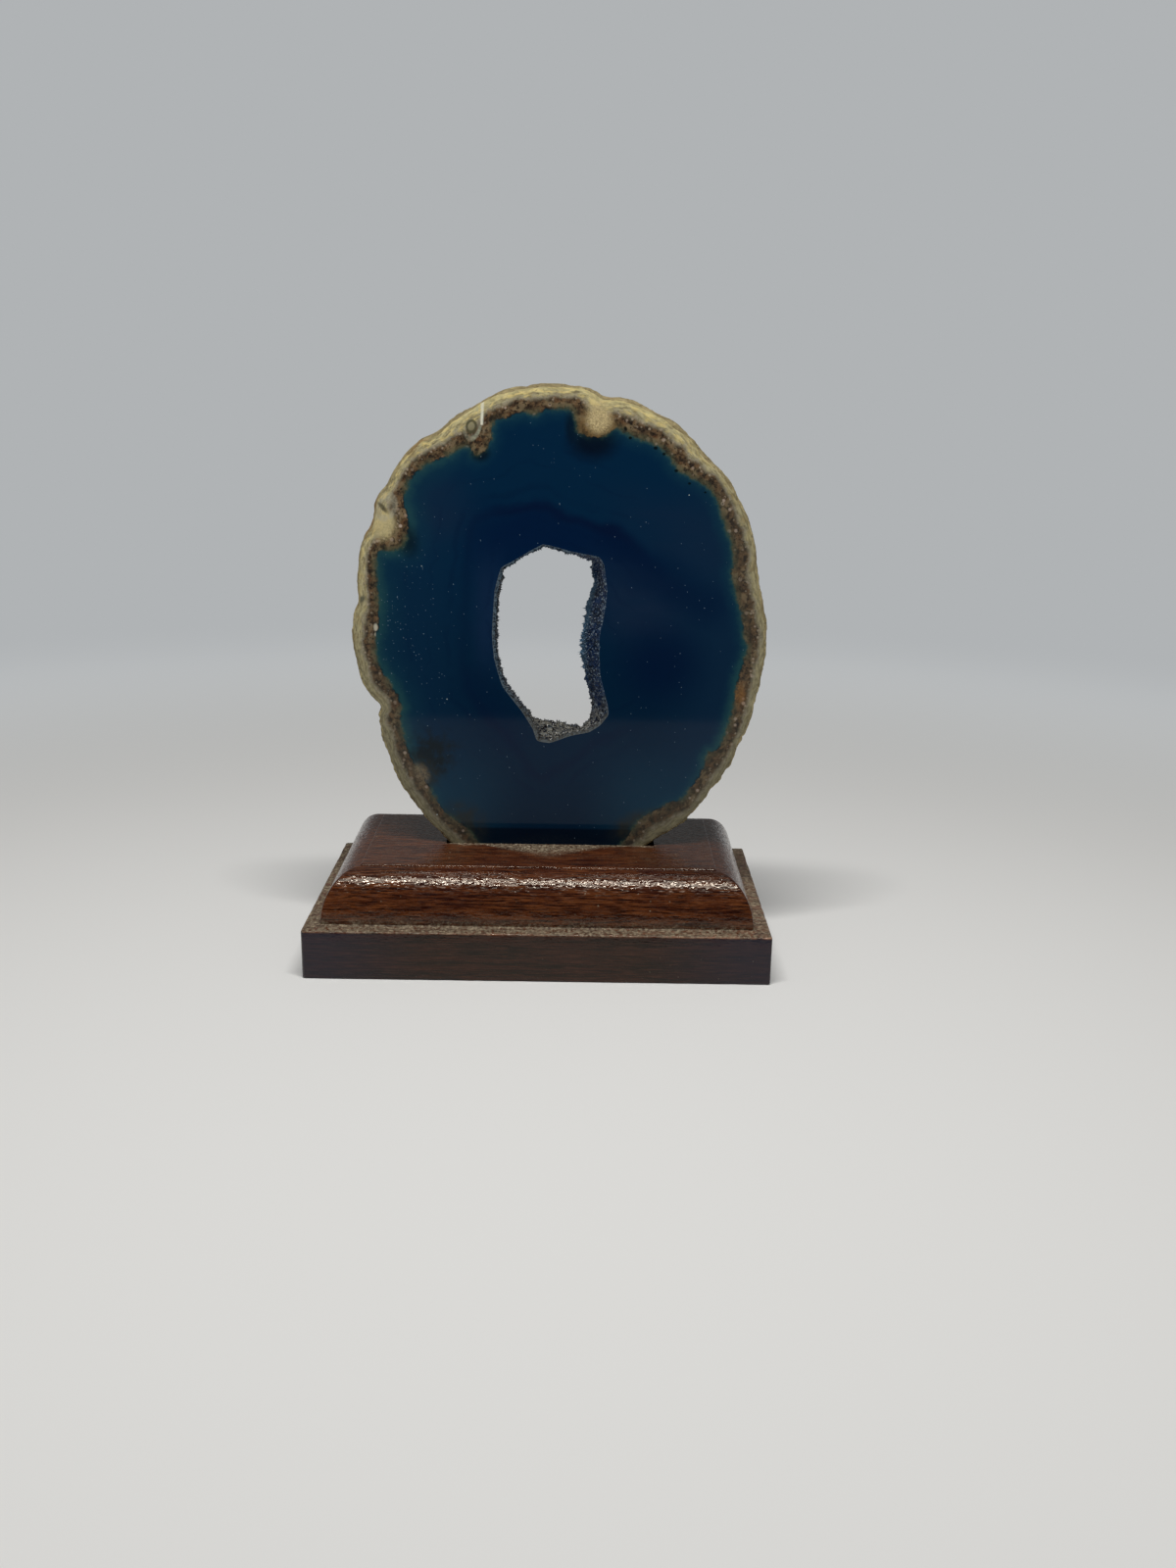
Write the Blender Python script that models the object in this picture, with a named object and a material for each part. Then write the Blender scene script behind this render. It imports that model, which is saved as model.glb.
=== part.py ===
"""A polished slice of blue-dyed agate geode, standing in the groove of a small moulded wooden stand.

Metres, +Z up. The origin is the middle of the stand's underside, +X runs along the stand, and the
slice's polished front face looks along -Y.
"""

import math
import random

import bmesh
import bpy
import numpy as np
from mathutils import Matrix
from mathutils import Vector
from mathutils import noise

MM = 0.001

# Edges that turn by more than this stay sharp
SHARP_ANGLE = math.radians(30)

# Stand: one block of wood with the same moulding cut along all four sides
STAND_LENGTH = 100 * MM
STAND_DEPTH = 60 * MM
STAND_HEIGHT = 22 * MM
PLINTH_HEIGHT = 10.8 * MM
LEDGE_WIDTH = 3.6 * MM
OVOLO_RUN = 7.6 * MM
QUIRK = 0.3 * MM
OVOLO_STEPS = 8
WORN_EDGE = 0.5 * MM
WORN_EDGE_STEPS = 2
GROOVE_OVERSHOOT = 2 * MM

# Slice: its two sawn faces, and the groove that its flat foot stands in
SLICE_THICKNESS = 6 * MM
CLEARANCE = 0.3 * MM
GROOVE_DEPTH = 5 * MM
GROOVE_LEFT = -21.5 * MM
GROOVE_RIGHT = 25.8 * MM

# Stations: how many equally spaced bearings every ring of the stone has a corner at, and how finely the
# spans between an outline's own points are read for that
STATIONS = 144
SPAN_STEPS = 8

# Rind: from the front face to the back, where each ring of the worn outer skin lies as a share of the
# thickness, and how many millimetres it stands out from the outline
RIND_PROFILE = [(-0.5, -0.45), (-0.37, 0.0), (-0.12, 0.2), (0.15, 0.15), (0.38, -0.1), (0.5, -0.55)]
RIND_LUMP = 0.35 * MM
RIND_LUMP_SIZE = 3.5 * MM

# Crystal crust: the lining of the hollow
CRUST_THICKNESS = 0.5 * MM
HOLLOW_ROUNDNESS = 0.35
CRYSTAL_ROWS = 5
CRYSTAL_MIN = 0.25 * MM
CRYSTAL_MAX = 0.75 * MM
CRYSTAL_JITTER = 0.28
CRYSTAL_LEAN = 0.3
CRYSTAL_SEED = 7

# The point in the hollow that bearings are taken from, as x and z in millimetres
HOLLOW_CENTRE = (1.5, 68.0)

# The nodule's outline as x and z in millimetres, clockwise from the left end of the foot
NODULE_OUTLINE = [
    # Left flank, up to a notch
    (-20.0, 21.5), (-23.5, 25.0), (-27.0, 29.0), (-31.0, 35.0), (-33.5, 40.0), (-35.5, 46.5), (-36.5, 51.0),
    (-36.0, 53.5),
    # Fullest part of the left side, up to a smaller notch
    (-38.5, 56.5), (-40.5, 62.0), (-41.5, 69.0), (-41.0, 74.0),
    (-40.0, 77.0),
    # Left shoulder, which rises in three steps
    (-40.0, 82.0), (-39.0, 89.0), (-36.5, 94.0),
    (-35.5, 98.5), (-33.0, 102.0), (-30.0, 107.0), (-26.5, 110.5),
    (-22.5, 112.5), (-19.0, 115.5), (-14.0, 118.5),
    # Crown, with a dent to the right of its highest stretch
    (-9.0, 121.0), (-2.0, 122.5), (5.0, 122.5), (9.5, 122.0),
    (12.5, 120.3),
    # Right shoulder
    (17.0, 120.0), (22.0, 118.0), (28.5, 114.5), (34.0, 109.0), (39.0, 104.0), (43.0, 97.5), (45.5, 90.5),
    # Right flank, down to the foot
    (46.5, 83.5), (48.5, 75.5), (49.0, 69.0), (48.0, 59.5), (46.5, 52.5), (44.0, 45.5), (41.5, 40.0),
    (38.5, 35.5), (34.0, 29.5), (29.5, 25.5), (24.0, 22.0),
    # Underside, most of which is sawn off to make the foot
    (16.5, 17.0), (8.0, 13.0), (0.0, 12.0), (-9.0, 14.0), (-15.0, 17.5),
]

# The hollow's edge on the front face, clockwise from its peak
HOLLOW_FRONT = [
    (0.0, 89.7), (6.0, 88.3), (12.0, 87.2), (13.2, 85.5), (14.0, 80.0), (13.5, 75.0), (12.5, 69.5),
    (12.8, 61.5), (14.5, 55.0), (14.8, 52.5), (13.0, 50.0), (10.5, 48.4), (6.5, 47.5), (1.8, 45.8),
    (-1.0, 46.3), (-2.0, 49.0), (-4.5, 53.0), (-8.7, 58.5), (-10.5, 64.5), (-11.0, 70.0), (-10.4, 79.5),
    (-9.0, 84.5), (-6.5, 86.0),
]

# The hollow's edge on the back face, where its right side and its floor come further in
HOLLOW_BACK = [
    (0.0, 89.5), (6.0, 88.0), (10.6, 86.8), (11.7, 85.0), (12.1, 80.0), (10.5, 75.3), (9.6, 68.5),
    (9.7, 64.0), (11.1, 57.5), (12.3, 53.0), (11.0, 49.2), (8.8, 47.3), (4.3, 48.3), (-2.2, 49.3),
    (-5.0, 52.8), (-8.9, 57.8), (-11.0, 64.5), (-11.0, 71.0), (-10.6, 78.0), (-9.2, 84.5), (-6.0, 86.3),
]


# Scene and shared helpers

def clear_scene():
    """Remove every object that the scene opened with."""
    for existing in list(bpy.data.objects):
        bpy.data.objects.remove(existing, do_unlink=True)


def new_collection(name):
    """Return a new collection linked to the scene."""
    collection = bpy.data.collections.new(name)
    bpy.context.scene.collection.children.link(collection)
    return collection


def make_material(name, colour, roughness):
    """Return a Principled material of one colour and roughness."""
    material = bpy.data.materials.new(name)
    material.use_nodes = True
    shader = material.node_tree.nodes["Principled BSDF"]
    shader.inputs["Base Color"].default_value = (*colour, 1.0)
    shader.inputs["Roughness"].default_value = roughness
    shader.inputs["Metallic"].default_value = 0.0
    return material


def link_mesh(name, mesh, collection):
    """Return a new object that holds the mesh."""
    made = bpy.data.objects.new(name, mesh)
    collection.objects.link(made)
    return made


def add_boolean(target, tool, operation):
    """Put an exact Boolean on the target and hide its tool."""
    modifier = target.modifiers.new(operation.lower(), "BOOLEAN")
    modifier.operation = operation
    modifier.solver = "EXACT"
    modifier.object = tool
    tool.hide_render = True
    tool.display_type = "WIRE"


# Wooden stand

def moulding_steps():
    """Return the moulding as (inwards, upwards) steps: the ledge, the quarter-ellipse ovolo, the quirk."""
    rise = STAND_HEIGHT - QUIRK - PLINTH_HEIGHT
    steps = [(LEDGE_WIDTH, 0.0)]
    for step in range(OVOLO_STEPS):
        angle = 0.5 * math.pi * step / OVOLO_STEPS
        following = 0.5 * math.pi * (step + 1) / OVOLO_STEPS
        inwards = OVOLO_RUN * (math.cos(angle) - math.cos(following))
        upwards = rise * (math.sin(following) - math.sin(angle))
        steps.append((inwards, upwards))
    steps.append((QUIRK / 2, QUIRK))
    return steps


def new_box(name, size, centre, collection):
    """Return a box of the given size, with its scale and place applied to the mesh."""
    bpy.ops.mesh.primitive_cube_add(size=1)
    box = bpy.context.object
    box.name = name
    for holder in list(box.users_collection):
        holder.objects.unlink(box)
    collection.objects.link(box)
    box.data.transform(Matrix.LocRotScale(Vector(centre), None, Vector(size)))
    return box


def build_stand(parts, cutters):
    """Build the stand: the plinth's top is inset and raised along the moulding, then the groove is cut."""
    size = (STAND_LENGTH, STAND_DEPTH, PLINTH_HEIGHT)
    stand = new_box("wooden_stand", size, (0, 0, PLINTH_HEIGHT / 2), parts)
    work = bmesh.new()
    work.from_mesh(stand.data)
    plinth_edges = work.edges[:]
    top = max(work.faces, key=lambda face: face.calc_center_median().z)
    for inwards, upwards in moulding_steps():
        bmesh.ops.inset_region(work, faces=[top], thickness=inwards, depth=upwards, use_even_offset=True)
    bmesh.ops.bevel(work, geom=plinth_edges, offset=WORN_EDGE, segments=WORN_EDGE_STEPS, affect="EDGES")
    bmesh.ops.recalc_face_normals(work, faces=work.faces)
    work.to_mesh(stand.data)
    work.free()

    groove_length = GROOVE_RIGHT - GROOVE_LEFT
    groove_width = SLICE_THICKNESS + 2 * CLEARANCE
    groove_size = (groove_length, groove_width, GROOVE_DEPTH + GROOVE_OVERSHOOT)
    groove_middle = (GROOVE_LEFT + GROOVE_RIGHT) / 2
    groove_centre = (groove_middle, 0.0, STAND_HEIGHT + (GROOVE_OVERSHOOT - GROOVE_DEPTH) / 2)
    groove = new_box("groove_cutter", groove_size, groove_centre, cutters)
    add_boolean(stand, groove, "DIFFERENCE")
    stand.data.shade_smooth()
    stand.data.set_sharp_from_angle(angle=SHARP_ANGLE)
    stand.data.materials.append(make_material("lacquered_red_brown_wood", (0.075, 0.024, 0.014), 0.3))
    return stand


# Outlines of the stone

def closed_loop(points, roundness):
    """Return a closed line through the points, from straight spans at 0 to a Catmull-Rom curve at 1."""
    knots = np.array(points)
    before = np.roll(knots, 1, axis=0)[:, None, :]
    after = np.roll(knots, -1, axis=0)[:, None, :]
    beyond = np.roll(knots, -2, axis=0)[:, None, :]
    knots = knots[:, None, :]
    t = (np.arange(SPAN_STEPS) / SPAN_STEPS)[None, :, None]
    curve = knots + 0.5 * t * (after - before)
    curve = curve + 0.5 * t**2 * (2 * before - 5 * knots + 4 * after - beyond)
    curve = curve + 0.5 * t**3 * (3 * knots - before - 3 * after + beyond)
    straight = knots + t * (after - knots)
    return (straight + roundness * (curve - straight)).reshape(-1, 2)


def loop_at_stations(points, roundness):
    """Return the outline's x and z, in metres, where it crosses equally spaced bearings."""
    centre = np.array(HOLLOW_CENTRE)
    arms = closed_loop(points, roundness) - centre
    bearings = np.arctan2(arms[:, 1], arms[:, 0])
    order = np.argsort(bearings)
    stations = np.linspace(-math.pi, math.pi, STATIONS, endpoint=False)
    reach = np.interp(stations, bearings[order], np.hypot(arms[:, 0], arms[:, 1])[order], period=2 * math.pi)
    directions = np.stack([np.cos(stations), np.sin(stations)], axis=1)
    return (centre + reach[:, None] * directions) * MM


def offset_loop(loop, distance):
    """Return the loop moved outwards by a distance along its own normals."""
    along = np.roll(loop, -1, axis=0) - np.roll(loop, 1, axis=0)
    along = along / np.linalg.norm(along, axis=1, keepdims=True)
    outwards = np.stack([along[:, 1], -along[:, 0]], axis=1)
    return loop + np.reshape(distance, (-1, 1)) * outwards


def add_ring(work, loop, depth):
    """Add one ring of vertices at the given depth behind the slice's middle plane."""
    return [work.verts.new((x, depth, z)) for x, z in loop]


def bridge(work, ring_a, ring_b):
    """Join two rings with a band of quads, and return its faces."""
    faces = []
    count = len(ring_a)
    for here in range(count):
        following = (here + 1) % count
        corners = (ring_a[here], ring_a[following], ring_b[following], ring_b[here])
        faces.append(work.faces.new(corners))
    return faces


def hollow_wall(depth, inset):
    """Return the hollow's wall at a depth, moved in from the stone towards the opening by a distance."""
    blend = depth / SLICE_THICKNESS + 0.5
    front = loop_at_stations(HOLLOW_FRONT, HOLLOW_ROUNDNESS)
    back = loop_at_stations(HOLLOW_BACK, HOLLOW_ROUNDNESS)
    return offset_loop(front * (1 - blend) + back * blend, -inset)


# Agate slice

def rind_ring(outline, depth, offset):
    """Return the rind's outline at a depth, with its lumps and pits."""
    lumps = []
    for x, z in outline:
        place = Vector((x, depth, z)) / RIND_LUMP_SIZE
        lumps.append(offset * MM + RIND_LUMP * noise.noise(place))
    return offset_loop(outline, lumps)


def build_slice(parts):
    """Build the slice: a rough rind all round, two sawn faces, the hollow through it and the flat foot."""
    outline = loop_at_stations(NODULE_OUTLINE, 1.0)
    half = SLICE_THICKNESS / 2
    work = bmesh.new()
    rings = []
    for share, offset in RIND_PROFILE:
        depth = share * SLICE_THICKNESS
        rings.append(add_ring(work, rind_ring(outline, depth, offset), depth))
    rings.append(add_ring(work, hollow_wall(half, 0.0), half))
    rings.append(add_ring(work, hollow_wall(-half, 0.0), -half))
    for ring, following in zip(rings, rings[1:] + rings[:1]):
        bridge(work, ring, following)

    foot = STAND_HEIGHT - GROOVE_DEPTH + CLEARANCE
    everything = work.verts[:] + work.edges[:] + work.faces[:]
    cut = bmesh.ops.bisect_plane(work, geom=everything, dist=0.0001 * MM, plane_co=(0, 0, foot),
                                 plane_no=(0, 0, -1), clear_outer=True)
    rim = [item for item in cut["geom_cut"] if isinstance(item, bmesh.types.BMEdge)]
    bmesh.ops.edgeloop_fill(work, edges=rim)
    bmesh.ops.recalc_face_normals(work, faces=work.faces)

    mesh = bpy.data.meshes.new("agate_slice")
    work.to_mesh(mesh)
    work.free()
    agate = link_mesh("agate_slice", mesh, parts)
    mesh.shade_smooth()
    mesh.set_sharp_from_angle(angle=SHARP_ANGLE)
    mesh.materials.append(make_material("polished_blue_agate", (0.006, 0.035, 0.085), 0.08))
    return agate


# Crystal crust

def build_crust(parts):
    """Build the druse that lines the hollow: a thin ring whose inner side is all pointed crystals."""
    chance = random.Random(CRYSTAL_SEED)
    half = SLICE_THICKNESS / 2
    work = bmesh.new()
    rings = []
    for row in range(CRYSTAL_ROWS + 1):
        depth = -half + SLICE_THICKNESS * row / CRYSTAL_ROWS
        ring = add_ring(work, hollow_wall(depth, CLEARANCE + CRUST_THICKNESS), depth)
        if 0 < row < CRYSTAL_ROWS:
            spread = CRYSTAL_JITTER * SLICE_THICKNESS / CRYSTAL_ROWS
            for vertex in ring:
                vertex.co.y += chance.uniform(-spread, spread)
        rings.append(ring)
    beds = []
    for ring, following in zip(rings, rings[1:]):
        beds.extend(bridge(work, ring, following))
    back = add_ring(work, hollow_wall(half, CLEARANCE), half)
    front = add_ring(work, hollow_wall(-half, CLEARANCE), -half)
    bridge(work, rings[-1], back)
    bridge(work, back, front)
    bridge(work, front, rings[0])
    bmesh.ops.recalc_face_normals(work, faces=work.faces)

    points = bmesh.ops.poke(work, faces=beds)["verts"]
    work.normal_update()
    for point in points:
        height = chance.uniform(CRYSTAL_MIN, CRYSTAL_MAX)
        lean = Vector([chance.uniform(-CRYSTAL_LEAN, CRYSTAL_LEAN) for axis in range(3)])
        tip = point.co + (point.normal + lean) * height
        tip.y = max(-half + CRYSTAL_MIN, min(half - CRYSTAL_MIN, tip.y))
        point.co = tip

    mesh = bpy.data.meshes.new("crystal_crust")
    work.to_mesh(mesh)
    work.free()
    crust = link_mesh("crystal_crust", mesh, parts)
    mesh.materials.append(make_material("blue_grey_quartz", (0.12, 0.16, 0.21), 0.15))
    return crust


def main():
    """Build the whole object."""
    clear_scene()
    parts = new_collection("geode_slice_on_stand")
    cutters = new_collection("cutters")
    build_stand(parts, cutters)
    build_slice(parts)
    build_crust(parts)


main()
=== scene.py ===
"""A polished slice of blue-dyed agate geode, standing in the groove of a small lacquered wooden stand."""

import itertools
import math

import bpy
import numpy as np
from mathutils import Matrix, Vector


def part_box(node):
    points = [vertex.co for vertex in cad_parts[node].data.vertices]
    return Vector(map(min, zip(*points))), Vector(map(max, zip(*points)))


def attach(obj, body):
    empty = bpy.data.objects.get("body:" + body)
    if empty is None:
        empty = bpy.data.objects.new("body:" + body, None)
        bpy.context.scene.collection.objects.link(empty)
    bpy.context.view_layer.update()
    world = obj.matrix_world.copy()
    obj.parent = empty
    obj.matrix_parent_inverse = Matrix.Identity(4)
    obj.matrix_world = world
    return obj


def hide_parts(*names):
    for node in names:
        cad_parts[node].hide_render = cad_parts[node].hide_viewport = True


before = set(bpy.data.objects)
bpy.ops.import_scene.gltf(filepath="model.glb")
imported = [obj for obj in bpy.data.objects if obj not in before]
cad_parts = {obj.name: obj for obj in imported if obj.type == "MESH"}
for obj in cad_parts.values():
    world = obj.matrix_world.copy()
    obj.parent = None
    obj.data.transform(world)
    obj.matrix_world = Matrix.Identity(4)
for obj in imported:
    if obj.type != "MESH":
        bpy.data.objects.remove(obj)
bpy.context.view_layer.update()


# Wooden stand
# One block of red-brown wood. A router cut the same quarter-round moulding along all four sides above a
# square plinth, and the slice's groove across the top, and then the block was stained and lacquered.

MM = 0.001
PLINTH_HALF = (50.0, 30.0)
PLINTH_TOP = 10.8
STAND_TOP = 22.0
LEDGE = 3.6
OVOLO_RUN = 7.6
QUIRK_RISE = 0.3
QUIRK_RUN = 0.35
GROOVE_HALF = (23.65, 3.05)
GROOVE_MIDDLE = 2.15
GROOVE_FLOOR = 17.0
GROOVE_CORNER = 0.2
GROOVE_LIP = 0.3
CORNER_RADIUS = 0.45
WORN_CORNER_RADIUS = 0.95
SHARP_ANGLE = 35


def random_lumps(places, size, seed):
    """Gives smooth noise from -1 to 1 at an array of places, in lumps of about the given size.

    The corners of a lattice of that size hold random numbers, and between them the eight nearest are blended
    with smoothstep weights.
    """
    lattice = np.random.default_rng(seed).uniform(-1, 1, (32, 32, 32))
    spot = np.asarray(places) / size
    cell = np.floor(spot).astype(int)
    share = spot - cell
    share = share * share * (3 - 2 * share)
    total = np.zeros(spot.shape[:-1])
    for corner in itertools.product((0, 1), repeat=3):
        weight = np.prod(np.where(corner, share, 1 - share), axis=-1)
        index = (cell + corner) % 32
        total += weight * lattice[index[..., 0], index[..., 1], index[..., 2]]
    return total


def closed_surface(name, places, ring=False, values=None, triangles=False):
    """Makes a closed mesh object from a grid of places in millimetres: rows by columns by x, y and z.

    The columns run round and join. The rows join round too if the piece is a ring. Otherwise the first and
    last row are each closed by a fan to their middle. values holds arrays by name, one number for each place.
    Six times the volume is the sum of each triangle's corners' triple product, and the faces are turned
    round if it comes out negative.
    """
    rows, columns = places.shape[:2]
    number = np.arange(rows * columns).reshape(rows, columns)
    if ring:
        number = np.vstack([number, number[:1]])
    beside = np.roll(number, -1, axis=1)
    corners = np.stack([number[:-1], beside[:-1], beside[1:], number[1:]], axis=-1).reshape(-1, 4)
    vertices = places.reshape(-1, 3)
    columns_of = {key: array.reshape(-1) for key, array in (values or {}).items()}
    if triangles:
        faces = np.vstack([corners[:, [0, 1, 3]], corners[:, [1, 2, 3]]])
        solid = faces
    else:
        faces = corners
        solid = np.vstack([corners[:, [0, 1, 2]], corners[:, [0, 2, 3]]])
    fans = np.zeros((0, 3), dtype=int)
    if not ring:
        middles = np.stack([places[0].mean(axis=0), places[-1].mean(axis=0)])
        first = np.stack([beside[0], number[0], np.full(columns, len(vertices))], axis=-1)
        last = np.stack([number[-1], beside[-1], np.full(columns, len(vertices) + 1)], axis=-1)
        fans = np.vstack([first, last])
        vertices = np.vstack([vertices, middles])
        for key, array in columns_of.items():
            columns_of[key] = np.append(array, [array[:columns].mean(), array[-columns:].mean()])
    a, b, c = (vertices[np.vstack([solid, fans])[:, corner]] for corner in range(3))
    if np.einsum("ij,ij->", a, np.cross(b, c)) < 0:
        faces = faces[:, ::-1]
        fans = fans[:, ::-1]
    mesh = bpy.data.meshes.new(name)
    mesh.from_pydata((vertices * MM).tolist(), [], faces.tolist() + fans.tolist())
    for key, array in columns_of.items():
        mesh.attributes.new(key, "FLOAT", "POINT").data.foreach_set("value", array)
    mesh.shade_smooth()
    mesh.set_sharp_from_angle(angle=math.radians(SHARP_ANGLE))
    piece = bpy.data.objects.new(name, mesh)
    bpy.context.scene.collection.objects.link(piece)
    return piece


class Value:
    """A shader socket that Python arithmetic works on: each operation adds one Math node."""

    def __init__(self, nodes, socket):
        self.nodes = nodes
        self.socket = socket

    def math(self, operation, first, second=0.0):
        return self.nodes.node("Math", {"operation": operation}, {0: first, 1: second})

    def __add__(self, other):
        return self.math("ADD", self, other)

    def __radd__(self, other):
        return self.math("ADD", other, self)

    def __sub__(self, other):
        return self.math("SUBTRACT", self, other)

    def __rsub__(self, other):
        return self.math("SUBTRACT", other, self)

    def __mul__(self, other):
        return self.math("MULTIPLY", self, other)

    def __rmul__(self, other):
        return self.math("MULTIPLY", other, self)

    def __truediv__(self, other):
        return self.math("DIVIDE", self, other)

    def __rtruediv__(self, other):
        return self.math("DIVIDE", other, self)

    def __pow__(self, other):
        return self.math("POWER", self, other)

    def __neg__(self):
        return self.math("MULTIPLY", self, -1.0)

    def __abs__(self):
        return self.math("ABSOLUTE", self)

    def at_least(self, other):
        return self.math("MAXIMUM", self, other)

    def at_most(self, other):
        return self.math("MINIMUM", self, other)

    def rise(self, low, high):
        """Goes smoothly from 0 at low to 1 at high."""
        settings = {"interpolation_type": "SMOOTHSTEP"}
        return self.nodes.node("MapRange", settings, {0: self, 1: low, 2: high, 3: 0.0, 4: 1.0})

    def fall(self, low, high):
        """Goes smoothly from 1 at low to 0 at high."""
        return 1.0 - self.rise(low, high)

    def between(self, low, high, soft):
        """Is 1 from low to high and falls to 0 over a soft margin on each side."""
        return self.rise(low - soft, low + soft) * self.fall(high - soft, high + soft)


class Nodes:
    """A tree of shader nodes."""

    def __init__(self, tree):
        self.tree = tree

    def put(self, socket, value):
        """Links a Value to a socket, or sets the socket to a number, colour or vector."""
        if isinstance(value, Value):
            self.tree.links.new(value.socket, socket)
        elif isinstance(value, tuple) and len(value) < len(socket.default_value):
            socket.default_value = (*value, 1.0)
        else:
            socket.default_value = value

    def node(self, kind, settings=None, sockets=None, output=0):
        """Adds a node of a type with its settings, then its sockets' values or links, and gives an output."""
        made = self.tree.nodes.new("ShaderNode" + kind)
        for key, setting in (settings or {}).items():
            setattr(made, key, setting)
        for key, value in (sockets or {}).items():
            self.put(made.inputs[key], value)
        return Value(self, made.outputs[output])

    def vector(self, operation, first, sockets, output="Vector"):
        """Does vector arithmetic on the first vector."""
        return self.node("VectorMath", {"operation": operation}, {0: first, **sockets}, output)

    def mix(self, factor, first, second):
        """Blends from the first colour to the second."""
        return self.node("Mix", {"data_type": "RGBA"}, {0: factor, 6: first, 7: second}, output=2)


class Finish(Nodes):
    """A procedural material. Its nodes read the piece's Object coordinates, in millimetres, as place."""

    def __init__(self, name, specular, ior=1.5):
        self.material = bpy.data.materials.new(name)
        self.material.use_nodes = True
        super().__init__(self.material.node_tree)
        self.shader = self.tree.nodes["Principled BSDF"]
        self.shader.inputs["Specular IOR Level"].default_value = specular
        self.shader.inputs["IOR"].default_value = ior
        coordinates = self.node("TexCoord", output="Object")
        self.place = self.vector("SCALE", coordinates, {"Scale": 1 / MM})
        self.x = self.node("SeparateXYZ", sockets={0: self.place}, output=0)
        self.y = self.node("SeparateXYZ", sockets={0: self.place}, output=1)
        self.z = self.node("SeparateXYZ", sockets={0: self.place}, output=2)

    def along(self, x=0.0, y=0.0, z=0.0):
        """Gives a vector of three numbers or values."""
        return self.node("CombineXYZ", None, {0: x, 1: y, 2: z})

    def stretched(self, x, y, z):
        """Gives place with each axis divided by its own length, so a pattern on it has those lengths."""
        return self.vector("DIVIDE", self.place, {1: (x, y, z)})

    def noise(self, vector, size=1.0, detail=2.0, roughness=0.5):
        """Gives soft noise, mostly from 0.3 to 0.7, in clouds of about the given size."""
        sockets = {"Vector": vector, "Scale": 1 / size, "Detail": detail, "Roughness": roughness}
        return self.node("TexNoise", None, sockets)

    def cells(self, vector, size, randomness=1.0):
        """Gives the distance to the nearest cell's middle, in cells, and a random number for that cell."""
        made = self.node("TexVoronoi", None, {"Vector": vector, "Scale": 1 / size, "Randomness": randomness})
        colour = Value(self, made.socket.node.outputs["Color"])
        return made, self.node("SeparateColor", sockets={0: colour})

    def bump(self, height, depth):
        """Makes relief from a height of 0 to 1 that stands for a depth in millimetres."""
        return self.node("Bump", None, {"Height": height, "Distance": depth * MM, "Strength": 1.0})

    def connect(self, **sockets):
        """Feeds the shader's sockets, whose names are given with _ for the spaces."""
        for key, value in sockets.items():
            self.put(self.shader.inputs[key.replace("_", " ")], value)

    def blend(self, share, first, second):
        """Blends from one colour to another. Each is a screen colour's red, green and blue, or a Value."""
        return self.mix(share, *(pigment(*c) if isinstance(c, tuple) else c for c in (first, second)))

    def washed(self, base, *washes):
        """Lays washes over a base colour in order. Each wash is its share and its colour."""
        for share, colour in washes:
            base = self.blend(share, base, colour)
        return base


def pigment(red, green, blue, light=0.6):
    """Gives the linear colour that shows as this screen colour under light of that strength."""
    levels = [level / 255 for level in (red, green, blue)]
    return tuple(min(1.0, (((c + 0.055) / 1.055) ** 2.4 if c > 0.04 else c / 12.92) / light) for c in levels)


def strongest(first, *others):
    """Gives the largest of several masks at each place."""
    for other in others:
        first = first.at_least(other)
    return first


def stand_path():
    """Gives the stations round a rounded rectangle as four arrays: u, v, cosine and sine.

    A station of a rectangle with half sides a and b and corner radius r lies at x = u (a - r) + r cosine and
    y = v (b - r) + r sine. Along a side only u or v changes, and round a corner only the angle.
    """
    corner = np.linspace(0, 0.5 * math.pi, 7)
    u, v, angle = [], [], []
    for side, (start_u, start_v) in enumerate(((1, 1), (-1, 1), (-1, -1), (1, -1))):
        u.append(np.full(7, start_u))
        v.append(np.full(7, start_v))
        angle.append(corner + side * 0.5 * math.pi)
        steps = 98 if side % 2 == 0 else 58
        along = np.linspace(1, -1, steps + 2)[1:-1]
        u.append(along * start_u if side % 2 == 0 else np.full(steps, start_u))
        v.append(along * start_v if side % 2 == 1 else np.full(steps, start_v))
        angle.append(np.full(steps, (side + 1) * 0.5 * math.pi))
    u, v, angle = (np.concatenate(parts).astype(float) for parts in (u, v, angle))
    return u, v, np.cos(angle), np.sin(angle)


def stand_profile():
    """Gives the moulding's profile from the underside to the groove's floor.

    Each row is an inset from the plinth's side and a height. The ovolo is a quarter of an ellipse, and every
    edge that hands touch is a quarter of a small circle.
    """
    turn = np.linspace(0, 0.5 * math.pi, 5)
    worn = 0.4
    sweep = np.linspace(0, 0.5 * math.pi, 29)
    rise = STAND_TOP - QUIRK_RISE - PLINTH_TOP
    foot = [(worn * (1 - math.sin(t)), worn * (1 - math.cos(t))) for t in turn]
    side = [(0.0, height) for height in (2.5, 5.0, 7.5)]
    edge = [(worn * (1 - math.cos(t)), PLINTH_TOP - worn * (1 - math.sin(t))) for t in turn]
    ledge = [(1.5, PLINTH_TOP), (2.8, PLINTH_TOP), (3.3, PLINTH_TOP + 0.05)]
    ovolo = [(LEDGE + OVOLO_RUN * (1 - math.cos(t)), PLINTH_TOP + rise * math.sin(t)) for t in sweep]
    ovolo[0] = (LEDGE, PLINTH_TOP + 0.25)
    inner = LEDGE + OVOLO_RUN
    low = STAND_TOP - QUIRK_RISE
    quirk = [(inner + 0.12 + QUIRK_RUN * (1 - math.cos(t)), low + QUIRK_RISE * math.sin(t)) for t in turn]
    return np.array(foot + side + edge + ledge + ovolo + quirk)


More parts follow.
